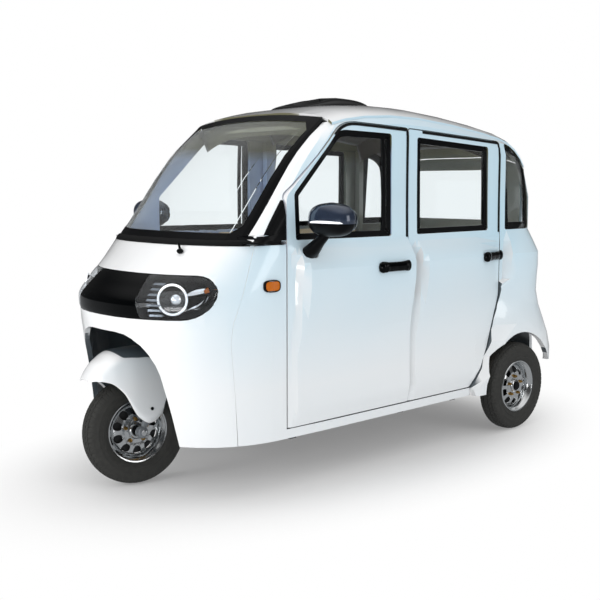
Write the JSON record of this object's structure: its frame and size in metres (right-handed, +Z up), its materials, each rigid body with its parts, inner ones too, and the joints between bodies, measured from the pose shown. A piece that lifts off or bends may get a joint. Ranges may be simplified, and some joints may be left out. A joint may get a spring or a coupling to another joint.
{
  "type": "enclosed electric tricycle",
  "caption": "Enclosed electric tricycle with a rounded cab, hinged side doors, a steered front wheel under the nose and driven wheels behind.",
  "frame": {"origin": "centre of the vehicle's box, on the ground", "axes": "+Z up, -Y towards the nose, +X towards the vehicle's left side"},
  "size_m": [1.5398, 2.6991, 1.742],
  "materials": {
    "pearl_paint": "gloss",
    "black_gloss": "gloss",
    "black_plastic": "satin",
    "dark_plastic": "matte",
    "black_frame": "satin",
    "dark_metal": "satin",
    "fork_steel": "satin",
    "wheel_alloy": "polished",
    "tyre_rubber": "matte",
    "seat_cover": "satin",
    "floor_mat": "matte",
    "window_glass": "clear",
    "lamp_glass": "clear",
    "amber_lens": "gloss",
    "red_lens": "gloss"
  },
  "bodies": {
    "body": {"battery_box": "dark_metal", "cabin_frame": "black_frame", "chassis_frame": "dark_metal", "dashboard": "dark_plastic", "driver_seat": "seat_cover", "floor_pan": "floor_mat", "front_side_panel_left": "pearl_paint", "front_side_panel_right": "pearl_paint", "headlamp_left": "lamp_glass", "headlamp_right": "lamp_glass", "lamp_band": "black_gloss", "marker_lamp_left": "amber_lens", "marker_lamp_right": "amber_lens", "nose_panel": "pearl_paint", "quarter_window_left": "window_glass", "quarter_window_right": "window_glass", "rear_axle": "dark_metal", "rear_bench": "seat_cover", "rear_panel": "pearl_paint", "rear_quarter_left": "pearl_paint", "rear_quarter_right": "pearl_paint", "rear_window": "window_glass", "roof_panel": "pearl_paint", "roof_pod": "black_gloss", "tail_lamp_left": "red_lens", "tail_lamp_right": "red_lens", "windscreen": "window_glass", "windscreen_surround": "black_gloss"},
    "steering": {"front_fork": "fork_steel", "handlebar": "black_plastic", "front_fender": "dark_plastic"},
    "front_wheel": {"front_wheel_rim": "wheel_alloy", "front_wheel_tyre": "tyre_rubber"},
    "rear_wheel_left": {"rear_wheel_left_rim": "wheel_alloy", "rear_wheel_left_tyre": "tyre_rubber"},
    "rear_wheel_right": {"rear_wheel_right_rim": "wheel_alloy", "rear_wheel_right_tyre": "tyre_rubber"},
    "front_door_left": {"front_door_left": "pearl_paint", "front_door_window_left": "window_glass", "front_door_handle_left": "black_plastic", "door_mirror_left": "pearl_paint"},
    "rear_door_left": {"rear_door_left": "pearl_paint", "rear_door_window_left": "window_glass", "rear_door_handle_left": "black_plastic"},
    "front_door_right": {"front_door_right": "pearl_paint", "front_door_window_right": "window_glass", "front_door_handle_right": "black_plastic", "door_mirror_right": "pearl_paint"},
    "rear_door_right": {"rear_door_right": "pearl_paint", "rear_door_window_right": "window_glass", "rear_door_handle_right": "black_plastic"}
  },
  "joints": [
    {"name": "steering_turn", "type": "hinge", "parent": "body", "child": "steering", "pos_m": [0, -1.0775, 0.235], "axis": [0, 0.4384, 0.8988], "range_deg": [-25.5, 44.5]},
    {"name": "front_wheel_spin", "type": "hinge", "parent": "steering", "child": "front_wheel", "pos_m": [0, -1.0775, 0.235], "axis": [0.9863, -0.1483, 0.0724], "continuous": true},
    {"name": "rear_wheel_left_spin", "type": "hinge", "parent": "body", "child": "rear_wheel_left", "pos_m": [0.565, 0.9525, 0.235], "axis": [1, 0, 0], "continuous": true},
    {"name": "rear_wheel_right_spin", "type": "hinge", "parent": "body", "child": "rear_wheel_right", "pos_m": [-0.565, 0.9525, 0.235], "axis": [1, 0, 0], "continuous": true},
    {"name": "front_door_left_swing", "type": "hinge", "parent": "body", "child": "front_door_left", "pos_m": [0.55, -0.6555, 0.705], "axis": [0, 0, -1], "range_deg": [0, 65]},
    {"name": "front_door_right_swing", "type": "hinge", "parent": "body", "child": "front_door_right", "pos_m": [-0.55, -0.6555, 0.705], "axis": [0, 0, 1], "range_deg": [0, 65]},
    {"name": "rear_door_left_swing", "type": "hinge", "parent": "body", "child": "rear_door_left", "pos_m": [0.55, 0.1125, 0.705], "axis": [0, 0, -1], "range_deg": [0, 65]},
    {"name": "rear_door_right_swing", "type": "hinge", "parent": "body", "child": "rear_door_right", "pos_m": [-0.55, 0.1125, 0.705], "axis": [0, 0, 1], "range_deg": [0, 65]}
  ]
}
